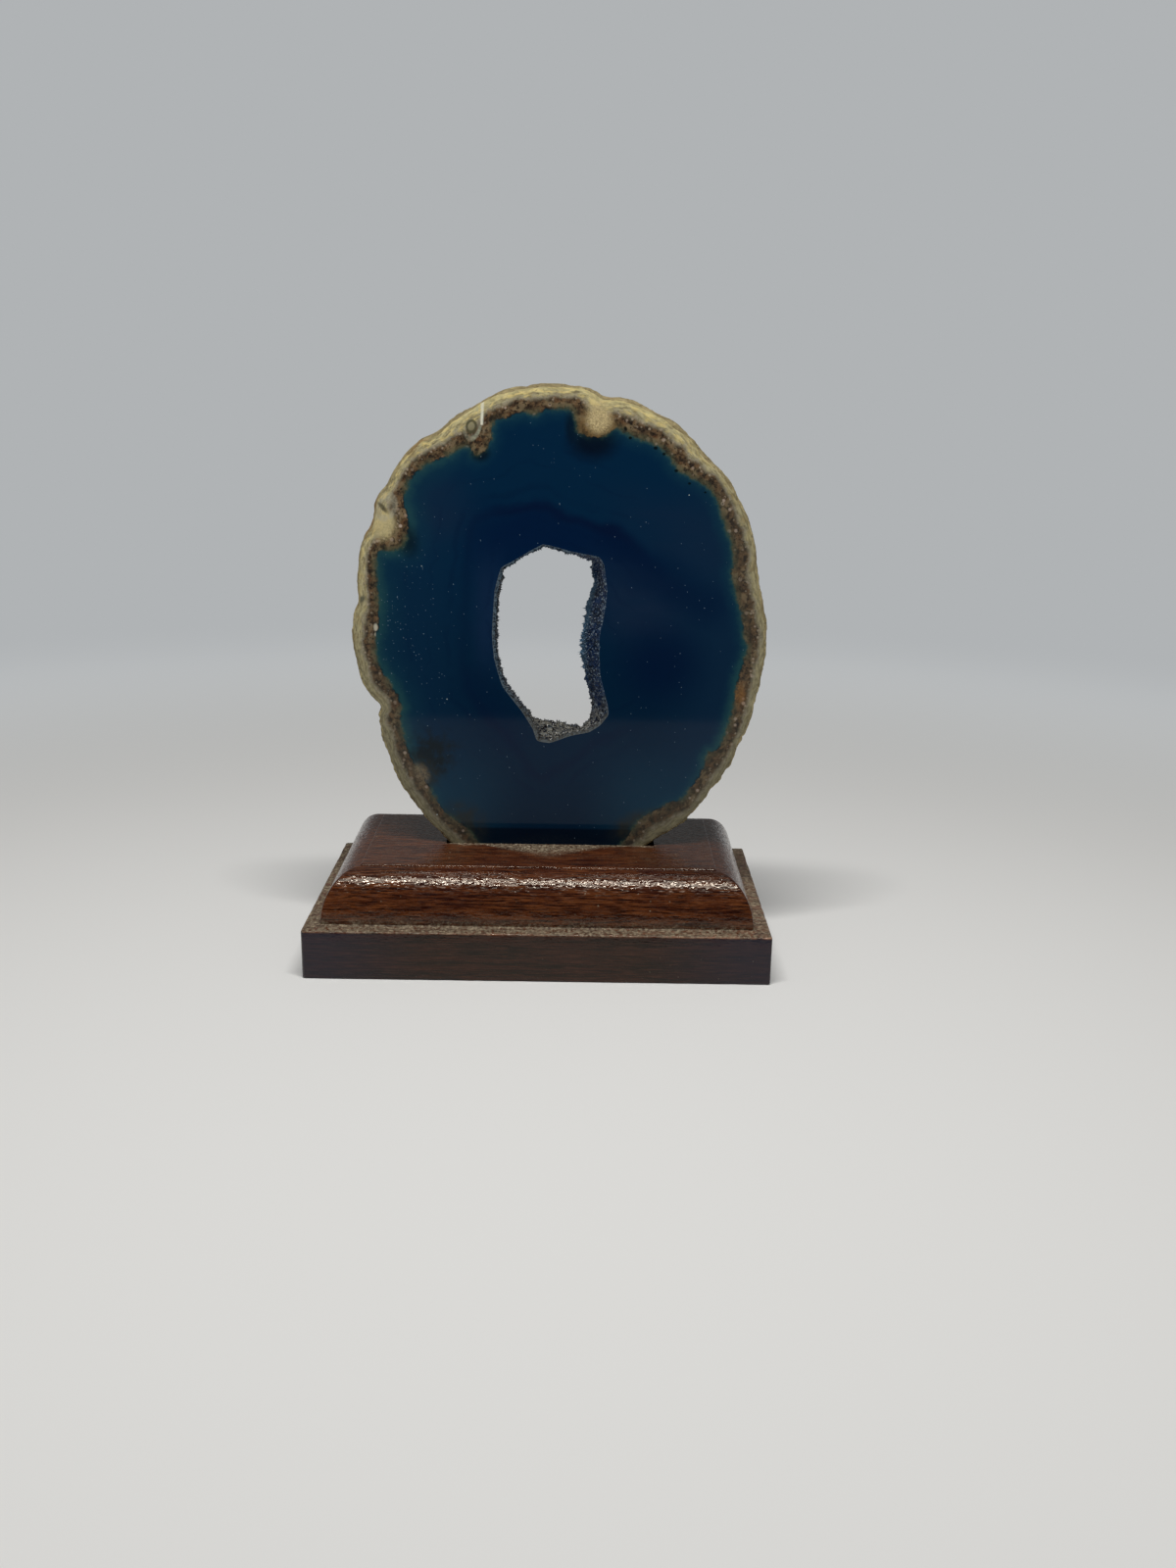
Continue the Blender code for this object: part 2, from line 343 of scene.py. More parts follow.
def stand_places():
    """Carries the profile round the stand, then closes in over the top to the groove and down into it."""
    u, v, cosine, sine = stand_path()
    profile = stand_profile()
    inset = profile[:, 0:1]
    # The front left corner of the plinth is the most worn
    worn = (u < -0.9) & (v < -0.9) & (profile[:, 1:2] < PLINTH_TOP + 0.1)
    radius = np.where(worn, WORN_CORNER_RADIUS, CORNER_RADIUS)
    x = u * (PLINTH_HALF[0] - inset - radius) + radius * cosine
    y = v * (PLINTH_HALF[1] - inset - radius) + radius * sine
    z = np.broadcast_to(profile[:, 1:2], x.shape)
    block = np.stack([x, y, z], axis=-1)
    # Unevenness from sanding and lacquer, and dents that only cut into the plinth's edges
    outwards = np.stack([cosine, sine, np.zeros_like(u)], axis=-1)
    edges = np.exp(-((profile[:, 1:2] - PLINTH_TOP) / 0.5) ** 2) * (inset < 0.5)
    edges = edges + np.exp(-(profile[:, 1:2] / 0.5) ** 2)
    dents = np.maximum(0, random_lumps(block, 3.1, 4) - 0.35)
    dents = dents + 0.5 * np.maximum(0, random_lumps(block, 1.4, 5))
    waves = 0.02 * random_lumps(block, 9.0, 6) - 0.35 * edges * dents
    block = block + waves[..., None] * outwards
    rim = block[-1]
    groove = np.stack([
        GROOVE_MIDDLE + u * (GROOVE_HALF[0] - GROOVE_CORNER) + GROOVE_CORNER * cosine,
        v * (GROOVE_HALF[1] - GROOVE_CORNER) + GROOVE_CORNER * sine,
        np.full_like(u, STAND_TOP),
    ], axis=-1)
    shares = np.linspace(0, 1, 13)[1:, None, None]
    top = rim + shares * (groove - rim)
    lip = groove - [0, 0, GROOVE_LIP]
    floor = groove * [1, 1, 0] + [0, 0, GROOVE_FLOOR]
    places = np.concatenate([block, top, lip[None], floor[None]])
    low = np.array([-PLINTH_HALF[0], -PLINTH_HALF[1], 0])
    return np.clip(places, low, [PLINTH_HALF[0], PLINTH_HALF[1], STAND_TOP])


def lacquered_wood():
    """Makes the wood: fine dark grain streaks along x under red-brown lacquer, with dust where it settles."""
    wood = Finish("lacquered_red_brown_wood", specular=0.42)
    wood.shader.inputs["Specular Tint"].default_value = (1.0, 0.9, 0.77, 1.0)
    drift = wood.noise(wood.stretched(34, 10, 10), detail=2)
    bent = wood.vector("ADD", wood.stretched(18, 1.1, 1.1), {1: wood.along(y=drift * 2.2, z=drift * 1.6)})
    broad = wood.noise(bent, detail=3, roughness=0.6)
    fine = wood.noise(wood.stretched(5.5, 0.3, 0.3), detail=3, roughness=0.65)
    pores = wood.noise(wood.stretched(2.6, 0.17, 0.17), detail=1)
    cloud = wood.noise(wood.place, 14, detail=2)
    # The plinth's sides took a darker, cooler stain than the moulding, and its front turns bluer towards the
    # ends
    plinth = wood.z.fall(PLINTH_TOP - 0.5, PLINTH_TOP - 0.1)
    stain = wood.washed(
        wood.blend(broad.rise(0.38, 0.62), (7, 3, 4), (31, 13, 11)),
        (fine.rise(0.48, 0.64) * 0.45, (56, 31, 25)),
        (abs(wood.x).rise(20, 50) * 0.7, (14, 21, 40)),
    )
    # Lacquer is rubbed to bare reddish wood along the plinth's upper edge, most of all at the right
    edge = wood.z.between(PLINTH_TOP - 0.35, PLINTH_TOP + 0.02, 0.1) * (1.0 - plinth * 0.3)
    rubbed = wood.noise(wood.stretched(3, 1, 1), detail=3).rise(0.42, 0.6) * (wood.x.rise(5, 42) * 0.4 + 0.15)
    # Painted shade: the moulding's upper part is darker at the right
    painted_shade = wood.x.rise(10, 36) * wood.z.rise(PLINTH_TOP + 7.0, STAND_TOP)
    colour = wood.washed(
        wood.blend(broad.rise(0.3, 0.7), (46, 21, 12), (74, 39, 20)),
        (fine.rise(0.48, 0.62) * 0.5, (94, 55, 28)),
        (fine.fall(0.36, 0.51), (26, 9, 6)),
        (pores.rise(0.55, 0.64) * 0.7, (20, 7, 6)),
        (cloud.rise(0.45, 0.7) * 0.35, (36, 13, 11)),
        (plinth * 0.9, stain),
        (edge * rubbed, (140, 98, 76)),
        (painted_shade * 0.45, (26, 9, 6)),
    )

    # Dust lies on the ledge, thickest in its inner corner, and along the slice's foot with one spill forward
    specks = wood.noise(wood.stretched(0.6, 0.9, 0.5), detail=2, roughness=0.65)
    patchy = wood.noise(wood.place, 3.2, detail=3)
    ledge = wood.z.between(PLINTH_TOP - 0.04, PLINTH_TOP + 0.35, 0.06)
    above = wood.z.fall(PLINTH_TOP + 0.1, PLINTH_TOP + 3.2) ** 2.0 * (1.0 - plinth) * 0.5
    across = abs(wood.x - 1.4)
    spill = (1.0 - across / 14.5).at_least(0.0) * 7.5
    front = -wood.y - 3.0
    reach = (spill + 1.2 + (patchy - 0.5) * 4.0).at_least(0.5)
    ragged = front / reach + (specks - 0.5) * 1.6 + (patchy - 0.5) * 0.8
    foot = ragged.fall(0.4, 1.3) * abs(wood.x - GROOVE_MIDDLE).fall(20.5, 25.0)
    top = wood.z.rise(STAND_TOP - 0.05, STAND_TOP - 0.01)
    foot = foot * top * (-wood.y).rise(2.0, 3.0)
    haze = top * patchy.rise(0.4, 0.7) * 0.06
    crumb, crumb_random = wood.cells(wood.place, 2.2)
    crumbs = crumb.fall(0.05, 0.1) * crumb_random.rise(0.6, 0.62) * 0.8 * (1.0 - plinth * 0.6)
    cover = ledge * (0.22 + patchy * 0.56) + above * patchy.rise(0.2, 0.65) + foot * 1.05 + haze
    dust = (cover * (specks.rise(0.28, 0.66) * 1.6 + 0.1) + crumbs).at_most(1.0)
    grain = wood.cells(wood.place, 0.5)[1]
    grey = wood.washed(
        wood.blend(specks.rise(0.35, 0.7), (58, 50, 40), (104, 94, 78)),
        (grain.rise(0.6, 0.95) * 0.45, (148, 137, 116)),
        (grain.fall(0.1, 0.35) * 0.5, (44, 34, 26)),
    )
    fluff, fluff_random = wood.cells(wood.stretched(0.8, 1.8, 0.8), 1.0)
    lint = fluff.fall(0.16, 0.3) * fluff_random.rise(0.55, 0.6) * (foot + ledge * 0.2)
    colour = wood.washed(colour, (dust * 0.85, grey), ((lint * 0.6).at_most(1.0), (156, 146, 128)))

    # The lacquer sank a little into the grain, so that a lamp's reflection breaks up into short bright dashes
    dashes = wood.noise(wood.stretched(0.85, 0.5, 0.5), detail=1)
    relief = wood.bump(dashes, 0.09)
    sunk = wood.noise(wood.stretched(1.5, 0.4, 0.4), detail=1).rise(0.5, 0.56) * (1.0 - plinth)
    roughness = (0.04 + sunk * 0.28 + dust * 0.7 + plinth * 0.2).at_most(0.9)
    wood.connect(Base_Color=colour, Roughness=roughness, Normal=relief)
    return wood.material


stand = closed_surface("wooden_stand_lacquered", stand_places())
stand.data.materials.append(lacquered_wood())
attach(stand, "root")
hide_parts("wooden_stand")


# Agate slice
# One slab sawn from a nodule about 90 mm across, ground flat and polished on both faces, with its rough
# yellow-brown rind left on. Its dyed quartz is deep blue; the rim's bands and the bulges in them took no dye.

STATIONS = 1080
HALF_THICKNESS = 3.0
SLICE_FOOT = 17.3
HOLLOW_CENTRE = np.array([1.5, 68.0])
HOLLOW_ROUNDNESS = 0.35

# The rind's profile from the front face to the back: share of the thickness and how far it stands out
RIND_PROFILE = [
    (-0.5, -0.45), (-0.47, -0.2), (-0.37, 0.02), (-0.12, 0.2), (0.15, 0.15), (0.38, -0.1), (0.47, -0.3),
    (0.5, -0.55),
]

# The nodule's outline as x and z, clockwise from the left end of the foot
NODULE_OUTLINE = [
    # Left flank, up to a notch
    (-20.0, 21.5), (-23.5, 25.0), (-27.0, 29.0), (-31.0, 35.0), (-33.5, 40.0), (-35.5, 46.5), (-36.5, 51.0),
    (-36.0, 53.5),
    # Fullest part of the left side, up to a smaller notch
    (-38.5, 56.5), (-40.5, 62.0), (-41.5, 69.0), (-41.0, 74.0),
    (-40.0, 77.0),
    # Left shoulder, which rises in three steps
    (-40.0, 82.0), (-39.0, 89.0), (-36.5, 94.0),
    (-35.5, 98.5), (-33.0, 102.0), (-30.0, 107.0), (-26.5, 110.5),
    (-22.5, 112.5), (-19.0, 115.5), (-14.0, 118.5),
    # Crown, with a dent to the right of its highest stretch
    (-9.0, 121.0), (-2.0, 122.5), (5.0, 122.5), (9.5, 122.0),
    (12.5, 120.3),
    # Right shoulder
    (17.0, 120.0), (22.0, 118.0), (28.5, 114.5), (34.0, 109.0), (39.0, 104.0), (43.0, 97.5), (45.5, 90.5),
    # Right flank, down to the foot
    (46.5, 83.5), (48.5, 75.5), (49.0, 69.0), (48.0, 59.5), (46.5, 52.5), (44.0, 45.5), (41.5, 40.0),
    (38.5, 35.5), (34.0, 29.5), (29.5, 25.5), (24.0, 22.0),
    # Underside, most of which is sawn off to make the foot
    (16.5, 17.0), (8.0, 13.0), (0.0, 12.0), (-9.0, 14.0), (-15.0, 17.5),
]

# Where the rim's brown bands end and the dyed quartz begins, clockwise from the left end of the foot
RIM_INNER = [
    (-16.0, 24.5), (-18.0, 26.5), (-21.5, 29.0), (-23.5, 32.0), (-25.0, 34.5), (-29.0, 41.5), (-30.5, 46.0),
    (-31.5, 50.5), (-31.2, 53.5), (-32.0, 56.0), (-34.0, 59.5), (-36.0, 63.0), (-36.7, 67.5), (-36.0, 70.5),
    (-35.6, 75.5), (-35.8, 80.0), (-36.0, 83.0), (-35.6, 87.5),
    # Bulge on the left
    (-32.5, 88.0), (-30.3, 88.8), (-29.2, 91.5), (-28.8, 93.5), (-29.3, 96.5),
    (-29.8, 98.5), (-28.8, 102.2), (-27.5, 104.0), (-23.7, 106.7), (-21.5, 107.5), (-18.0, 109.3),
    # Looped bulge
    (-15.8, 110.0), (-14.0, 108.2), (-11.5, 110.5), (-10.5, 115.0),
    (-7.0, 116.3), (-5.0, 117.2), (-2.0, 116.8), (0.0, 117.7), (4.5, 118.0),
    # Round bulge under the dent
    (6.0, 117.5), (6.8, 115.8), (7.2, 113.8), (8.6, 112.6), (11.4, 112.3), (13.8, 113.3), (15.5, 114.2),
    (19.0, 112.5), (22.5, 111.5), (26.0, 109.3), (28.5, 106.0), (31.5, 104.3), (35.3, 102.0), (37.5, 98.5),
    (39.0, 94.2), (40.6, 90.2), (41.2, 86.3), (40.8, 84.0), (42.1, 79.0), (43.3, 75.7), (44.2, 70.3),
    (45.0, 68.2), (44.0, 63.8), (43.0, 59.0), (42.4, 54.5), (41.3, 49.4), (39.3, 44.8), (37.1, 43.6),
    (36.0, 39.6), (33.5, 35.6), (32.0, 33.3), (28.0, 31.6), (24.0, 29.3), (21.8, 27.4),
    (18.0, 22.0), (10.0, 17.0), (0.0, 15.5), (-8.0, 17.0), (-13.0, 20.5),
]

# The band line in the dyed quartz, a peak over the hollow and a V under it, clockwise from its peak
BAND_LINE = [
    (-1.9, 98.7), (5.4, 95.5), (15.9, 92.6), (22.3, 88.1), (31.5, 79.8), (34.0, 68.0), (31.0, 57.0),
    (23.0, 50.0), (12.1, 46.0), (-0.1, 36.9), (-8.2, 47.5), (-16.9, 57.4), (-17.0, 70.0), (-16.6, 84.0),
    (-14.5, 94.8),
]

# The hollow's edge on the front face and on the back face, clockwise from its peak
HOLLOW_FRONT = [
    (0.0, 89.7), (6.0, 88.3), (12.0, 87.2), (13.2, 85.5), (14.0, 80.0), (13.5, 75.0), (12.5, 69.5),
    (12.8, 61.5), (14.5, 55.0), (14.8, 52.5), (13.0, 50.0), (10.5, 48.4), (6.5, 47.5), (1.8, 45.8),
    (-1.0, 46.3), (-2.0, 49.0), (-4.5, 53.0), (-8.7, 58.5), (-10.5, 64.5), (-11.0, 70.0), (-10.4, 79.5),
    (-9.0, 84.5), (-6.5, 86.0),
]
HOLLOW_BACK = [
    (0.0, 89.5), (6.0, 88.0), (10.6, 86.8), (11.7, 85.0), (12.1, 80.0), (10.5, 75.3), (9.6, 68.5),
    (9.7, 64.0), (11.1, 57.5), (12.3, 53.0), (11.0, 49.2), (8.8, 47.3), (4.3, 48.3), (-2.2, 49.3),
    (-5.0, 52.8), (-8.9, 57.8), (-11.0, 64.5), (-11.0, 71.0), (-10.6, 78.0), (-9.2, 84.5), (-6.0, 86.3),
]


def closed_loop(points, roundness, steps=24):
    """Gives a closed line through the points: straight at roundness 0, a Catmull-Rom curve at 1."""
    knots = np.array(points)
    before = np.roll(knots, 1, axis=0)[:, None, :]
    after = np.roll(knots, -1, axis=0)[:, None, :]
    beyond = np.roll(knots, -2, axis=0)[:, None, :]
    knots = knots[:, None, :]
    t = (np.arange(steps) / steps)[None, :, None]
    curve = knots + 0.5 * t * (after - before)
    curve = curve + 0.5 * t**2 * (2 * before - 5 * knots + 4 * after - beyond)
    curve = curve + 0.5 * t**3 * (3 * knots - before - 3 * after + beyond)
    straight = knots + t * (after - knots)
    return (straight + roundness * (curve - straight)).reshape(-1, 2)


def reach_at_bearings(points, roundness, count):
    """Gives how far an outline lies from the hollow's middle at equally spaced bearings."""
    arms = closed_loop(points, roundness) - HOLLOW_CENTRE
    bearings = np.arctan2(arms[:, 1], arms[:, 0])
    order = np.argsort(bearings)
    stations = np.linspace(-math.pi, math.pi, count, endpoint=False)
    return np.interp(stations, bearings[order], np.hypot(arms[:, 0], arms[:, 1])[order], period=2 * math.pi)


def loop_at(reach):
    """Gives the x and z of a closed outline from its reach at equally spaced bearings."""
    stations = np.linspace(-math.pi, math.pi, reach.shape[-1], endpoint=False)
    directions = np.stack([np.cos(stations), np.sin(stations)], axis=-1)
    return HOLLOW_CENTRE + reach[..., None] * directions


def outwards_of(loop):
    """Gives the unit normals of an anticlockwise closed loop: its tangent turned by a right angle."""
    along = np.roll(loop, -1, axis=0) - np.roll(loop, 1, axis=0)
    along = along / np.linalg.norm(along, axis=1, keepdims=True)
    return np.stack([along[:, 1], -along[:, 0]], axis=1)


def nearest(loop, places):
    """Gives the distance from each place of a grid to the closest point of a loop, one row at a time."""
    rows = [np.sqrt(((row[:, None] - loop) ** 2).sum(axis=-1).min(axis=1)) for row in places]
    return np.stack(rows)


def at_depth(flat, depth):
    """Puts x and z at a depth y."""
    flat = np.asarray(flat)
    depth = np.broadcast_to(depth, flat.shape[:-1])
    return np.stack([flat[..., 0], depth, flat[..., 1]], axis=-1)


def rind_places():
    """Carries the rind's profile round the nodule, with broad lumps, small pits and a chipped edge."""
    outline = loop_at(reach_at_bearings(NODULE_OUTLINE, 1.0, STATIONS))
    outwards = outwards_of(outline)
    profile = np.array(RIND_PROFILE)
    shares = np.array([
        -0.5, -0.485, -0.46, -0.42, -0.36, -0.28, -0.19, -0.1, 0, 0.1, 0.2, 0.29, 0.37, 0.43, 0.47, 0.5,
    ])
    stand_out = np.interp(shares, profile[:, 0], profile[:, 1])[:, None]
    rows = np.broadcast_to(outline, (len(shares), *outline.shape))
    places = at_depth(rows, 2 * HALF_THICKNESS * shares[:, None])
    lumps = 0.3 * random_lumps(places, 3.5, 1) + 0.16 * random_lumps(places, 1.3, 2)
    lumps = lumps + 0.1 * random_lumps(places, 0.6, 3)
    # The edge is chipped into small teeth low on both sides
    low = np.exp(-((outline[:, 1] - 42) / 14) ** 2)
    teeth = 0.35 * low * np.minimum(0, random_lumps(places * [1, 0.4, 1], 0.9, 8))
    moved = np.minimum(stand_out + lumps + teeth, 0.36)
    flat = places[..., [0, 2]] + moved[..., None] * outwards
    # The stone goes no higher than its solid
    flat[..., 1] = np.minimum(flat[..., 1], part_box("agate_slice")[1][2] / MM - 0.01)
    return at_depth(flat, places[..., 1])


def slice_places():
    """Gives the slice's rows, once round through the hollow, the front face, the rind and the back face.

    On a face each row lies at a share of the way from the hollow's edge to the rind. The rows stand close
    together in the rim, whose bands need them. What would lie below the sawn foot is drawn up to it.
    """
    front = loop_at(reach_at_bearings(HOLLOW_FRONT, HOLLOW_ROUNDNESS, STATIONS))
    back = loop_at(reach_at_bearings(HOLLOW_BACK, HOLLOW_ROUNDNESS, STATIONS))
    rind = sawn_foot(rind_places())
    shares = np.concatenate([np.linspace(0, 0.7, 11), np.linspace(0.7, 1, 19)[1:]])[:, None, None]
    front_edge = rind[0][:, [0, 2]]
    back_edge = rind[-1][:, [0, 2]]
    front_face = at_depth(front + shares * (front_edge - front), -HALF_THICKNESS)
    back_face = at_depth(back_edge + (1 - shares[::-1]) * (back - back_edge), HALF_THICKNESS)
    return front_face, rind[1:-1], back_face


def sawn_foot(places):
    """Draws every place that lies below the foot back towards the hollow's middle, up to the foot's plane."""
    down = HOLLOW_CENTRE[1] - places[..., 2]
    share = np.minimum(1, (HOLLOW_CENTRE[1] - SLICE_FOOT) / np.maximum(down, 1))
    drawn = places.copy()
    drawn[..., 0] = HOLLOW_CENTRE[0] + share * (places[..., 0] - HOLLOW_CENTRE[0])
    drawn[..., 2] = HOLLOW_CENTRE[1] - share * down
    return drawn


def slice_fields(places):
    """Gives each place's distances from the skin, the rim's inner edge and the band line, and along the rim.

    The middle two are positive outside their outline and negative inside it. The distance along the rim is
    the outline's length from the foot, where nothing that reads it shows, to the place's own bearing.
    """
    flat = places[..., [0, 2]]
    arms = flat - HOLLOW_CENTRE
    bearings = np.arctan2(arms[..., 1], arms[..., 0])
    stations = np.linspace(-math.pi, math.pi, STATIONS, endpoint=False)
    outline = loop_at(reach_at_bearings(NODULE_OUTLINE, 1.0, STATIONS))
    steps = np.roll(np.linalg.norm(np.roll(outline, -1, axis=0) - outline, axis=1), -STATIONS // 4)
    along = np.roll(np.cumsum(steps), STATIONS // 4)
    fields = {"skin": nearest(outline, flat), "along": np.broadcast_to(along, bearings.shape).copy()}
    for name, points, roundness in (("rim", RIM_INNER, 1.0), ("band", BAND_LINE, 0.2)):
        reach = reach_at_bearings(points, roundness, STATIONS)
        limit = np.interp(bearings, stations, reach, period=2 * math.pi)
        side = np.where(np.hypot(arms[..., 0], arms[..., 1]) > limit, 1, -1)
        fields[name] = nearest(loop_at(reach), flat) * side
    return fields


def polished_agate():
    """Makes the sawn faces: a rim of skin, yellow, grey and brown bands, and the dyed quartz inside it."""
    agate = Finish("polished_blue_agate", specular=0.11)
    skin, rim, band, along = (agate.node("Attribute", {"attribute_name": name}, output="Fac")
                              for name in ("skin", "rim", "band", "along"))
    x, z = agate.x, agate.z
    flat = agate.vector("MULTIPLY", agate.place, {1: (1, 0, 1)})
    cloud = agate.noise(flat, 9, detail=2)
    wobble = (agate.noise(flat, 1.5, detail=2) - 0.5) * 1.5 + (agate.noise(flat, 0.55, detail=1) - 0.5) * 0.7
    edge = rim + wobble
    depth = -edge

    def oval(x0, z0, width, height, turn=0.0, ragged=0.12):
        """Gives the distance from an oval's middle, 1 on its line, with the oval turned by some degrees."""
        cosine, sine = math.cos(math.radians(turn)), math.sin(math.radians(turn))
        across = ((x - x0) * cosine + (z - z0) * sine) / width
        up = ((z - z0) * cosine - (x - x0) * sine) / height
        return (across * across + up * up) ** 0.5 + wobble * ragged

    def blot(x0, z0, width, height, turn=0.0, soft=0.35):
        """Gives a soft oval spot, 1 in its middle."""
        return oval(x0, z0, width, height, turn).fall(1 - soft, 1 + soft)

    def ring(x0, z0, width, height, turn=0.0, thick=0.25):
        """Gives an oval line, thick as a share of its radius."""
        return abs(oval(x0, z0, width, height, turn, 0.07) - 1.0).fall(thick * 0.4, thick * 1.6)

    def stroke(x0, z0, x1, z1, width, soft=0.6):
        """Gives a soft straight line between two places, 1 along its middle."""
        run, rise = x1 - x0, z1 - z0
        share = (((x - x0) * run + (z - z0) * rise) / (run * run + rise * rise)).at_least(0.0).at_most(1.0)
        off = ((x - x0 - share * run) ** 2.0 + (z - z0 - share * rise) ** 2.0) ** 0.5
        return (off + (cloud - 0.5) * width).fall(width * (1 - soft), width * (1 + soft))

    def patches(length, width=None, detail=2, roughness=0.5):
        """Gives noise in patches that follow the rim: a length along it and, if given, a width across it."""
        inwards = skin / width if width else 0.0
        return agate.noise(agate.along(along / length, inwards), detail=detail, roughness=roughness)

    # Dyed quartz: bluest over and left of the hollow, deepest inside the band line
    drifts = agate.noise(agate.stretched(14, 14, 4.5), detail=3, roughness=0.55)
    left = x.fall(-28, -10)
    far_right = x.rise(22, 40)
    bent = band + (cloud - 0.5) * 5.0 + (drifts - 0.5) * 3.0
    vague = 2.6 + x.fall(-13, -3) * 4.0
    inside = bent.fall(-vague, vague)
    # Violet haze lies left of the hollow, and grey haze over and under the dark streak at its right
    violet = (x + (cloud - 0.5) * 4.0).between(-14.4, -8.5, 2.2) * z.between(64, 85, 8)
    haze = strongest(
        blot(28.0, 92.5, 12.0, 5.5, -28, 0.9) * 0.5,
        blot(20.5, 77.0, 10.5, 7.5, -35, 0.9) * 0.85,
        blot(-22.5, 97.0, 6.5, 6.0, 40, 0.8) * 0.55,
    )
    dark = strongest(
        blot(26.0, 64.0, 8.0, 7.5, 0, 0.8) * 0.95,
        stroke(14.0, 91.4, 26.0, 83.2, 2.4, 1.0) * 0.75,
        stroke(23.0, 84.0, 35.0, 77.0, 4.2, 1.0) * 0.65,
        stroke(-14.8, 59.0, -7.0, 47.5, 3.4, 1.0) * 0.45,
    )
    near_line = x.fall(14, 26)
    clearness = 0.33 - z.rise(50, 60) * 0.13 + z.rise(80, 90) * x.rise(-17, -5) * 0.5
    line = bent.between(-1.1, 0.9, 1.0) * near_line * clearness
    rings = agate.noise(agate.along(bent * 0.45), detail=1).rise(0.5, 0.7) * near_line
    # The dye thins to teal, and in places to pale green, where the quartz meets the rim
    glow = depth.fall(0.3, 3.6 + left * 4.0)
    corner = far_right * z.fall(58, 82)
    pale = depth.fall(0.1, 1.5 + left * 1.4 + corner) * (0.35 + left * 0.3 + corner * 0.4)
    colour = agate.washed(
        agate.blend(z.rise(52, 92), (4, 25, 44), (4, 29, 51)),
        (left * 0.55, (10, 34, 55)),
        (far_right * 0.75, (12, 32, 52)),
        (inside * z.rise(74, 92) * 0.85, (3, 19, 45)),
        (violet * 0.6, (17, 33, 58)),
        (haze * (0.65 + drifts.rise(0.35, 0.65) * 0.35), (17, 31, 51)),
        (dark * 0.85, (3, 17, 41)),
        (line, (5, 14, 38)),
        (rings * drifts.rise(0.4, 0.6) * 0.3, (3, 17, 40)),
        (glow * (0.25 + cloud * 0.7), (14, 44, 58)),
        (pale * (0.35 + cloud * 0.7), (34, 66, 64)),
        (z.fall(30, 50) * abs(x - 2.0).rise(4, 22) * 0.75, (14, 44, 62)),
        # The wood round the groove keeps the light from the foot
        (z.fall(25.5, 26.1) * 0.75, (3, 8, 17)),
    )

    # Dark shadows beside the bulges, and smoke and stains low down
    shadows = strongest(
        blot(10.4, 111.4, 4.6, 3.4, 0, 0.6),
        blot(6.2, 114.0, 1.6, 4.0, 0, 0.5) * 0.8,
        blot(-29.6, 90.4, 2.4, 3.4, 30, 0.6) * 0.85,
        blot(-13.4, 108.6, 1.9, 1.6, 0, 0.5),
    )
    puffs = (agate.noise(flat, 2.2, detail=3, roughness=0.65) - 0.5) * 3.2
    smoke = (blot(-24.4, 42.6, 4.4, 4.6, -25, 0.8) + puffs * 1.1).at_least(0.0).at_most(1.0)
    smoke = smoke * blot(-24.4, 42.6, 6.0, 6.2, -25, 0.6)
    stains = strongest(
        blot(-26.6, 38.4, 2.6, 3.4, 40, 0.7),
        blot(-17.6, 26.6, 4.6, 4.0, -35, 0.7),
        blot(21.5, 27.0, 5.0, 2.4, 25, 0.7),
    )
    stains = (stains * (0.9 + puffs * 0.9)).at_least(0.0).at_most(1.0)
    colour = agate.washed(
        colour,
        (shadows * 0.85, (5, 9, 20)),
        (smoke * 0.85, (15, 21, 23)),
        (stains * 0.75, (36, 36, 30)),
    )

    # Rim bands: cream and gold next to the skin, then grey, then brown, each running mottled into the next
    grit = agate.noise(flat, 0.36, detail=3, roughness=0.75)
    mould = agate.noise(flat, 1.25, detail=3, roughness=0.65)
    dull = z.fall(34, 92)
    across = skin / (skin + rim.at_least(0.0)).at_least(0.05) + (patches(4.5, detail=3) - 0.5) * 0.55
    across = across + (mould - 0.5) * 0.45 + (grit - 0.5) * 0.2 + x.rise(16, 42) * 0.1
    gold = patches(2.6, 0.75, 3).rise(0.46, 0.62) * z.rise(56, 114)
    ochre = agate.noise(flat, 2.6, detail=3).rise(0.54, 0.66)
    pitted = patches(1.3, 0.6).rise(0.56, 0.68)
    cream = agate.washed(
        agate.blend(patches(1.9, 0.42, 3, 0.6).rise(0.36, 0.64), (106, 98, 72), (154, 146, 112)),
        (gold * (0.68 - x.rise(16, 42) * 0.4), (190, 172, 112)),
        (grit.rise(0.52, 0.74) * 0.5, (186, 178, 146)),
        (ochre * 0.4, (118, 98, 62)),
        (pitted * (0.65 - x.rise(6, 20) * 0.35), (74, 68, 52)),
        (dull * 0.4, (88, 84, 70)),
    )
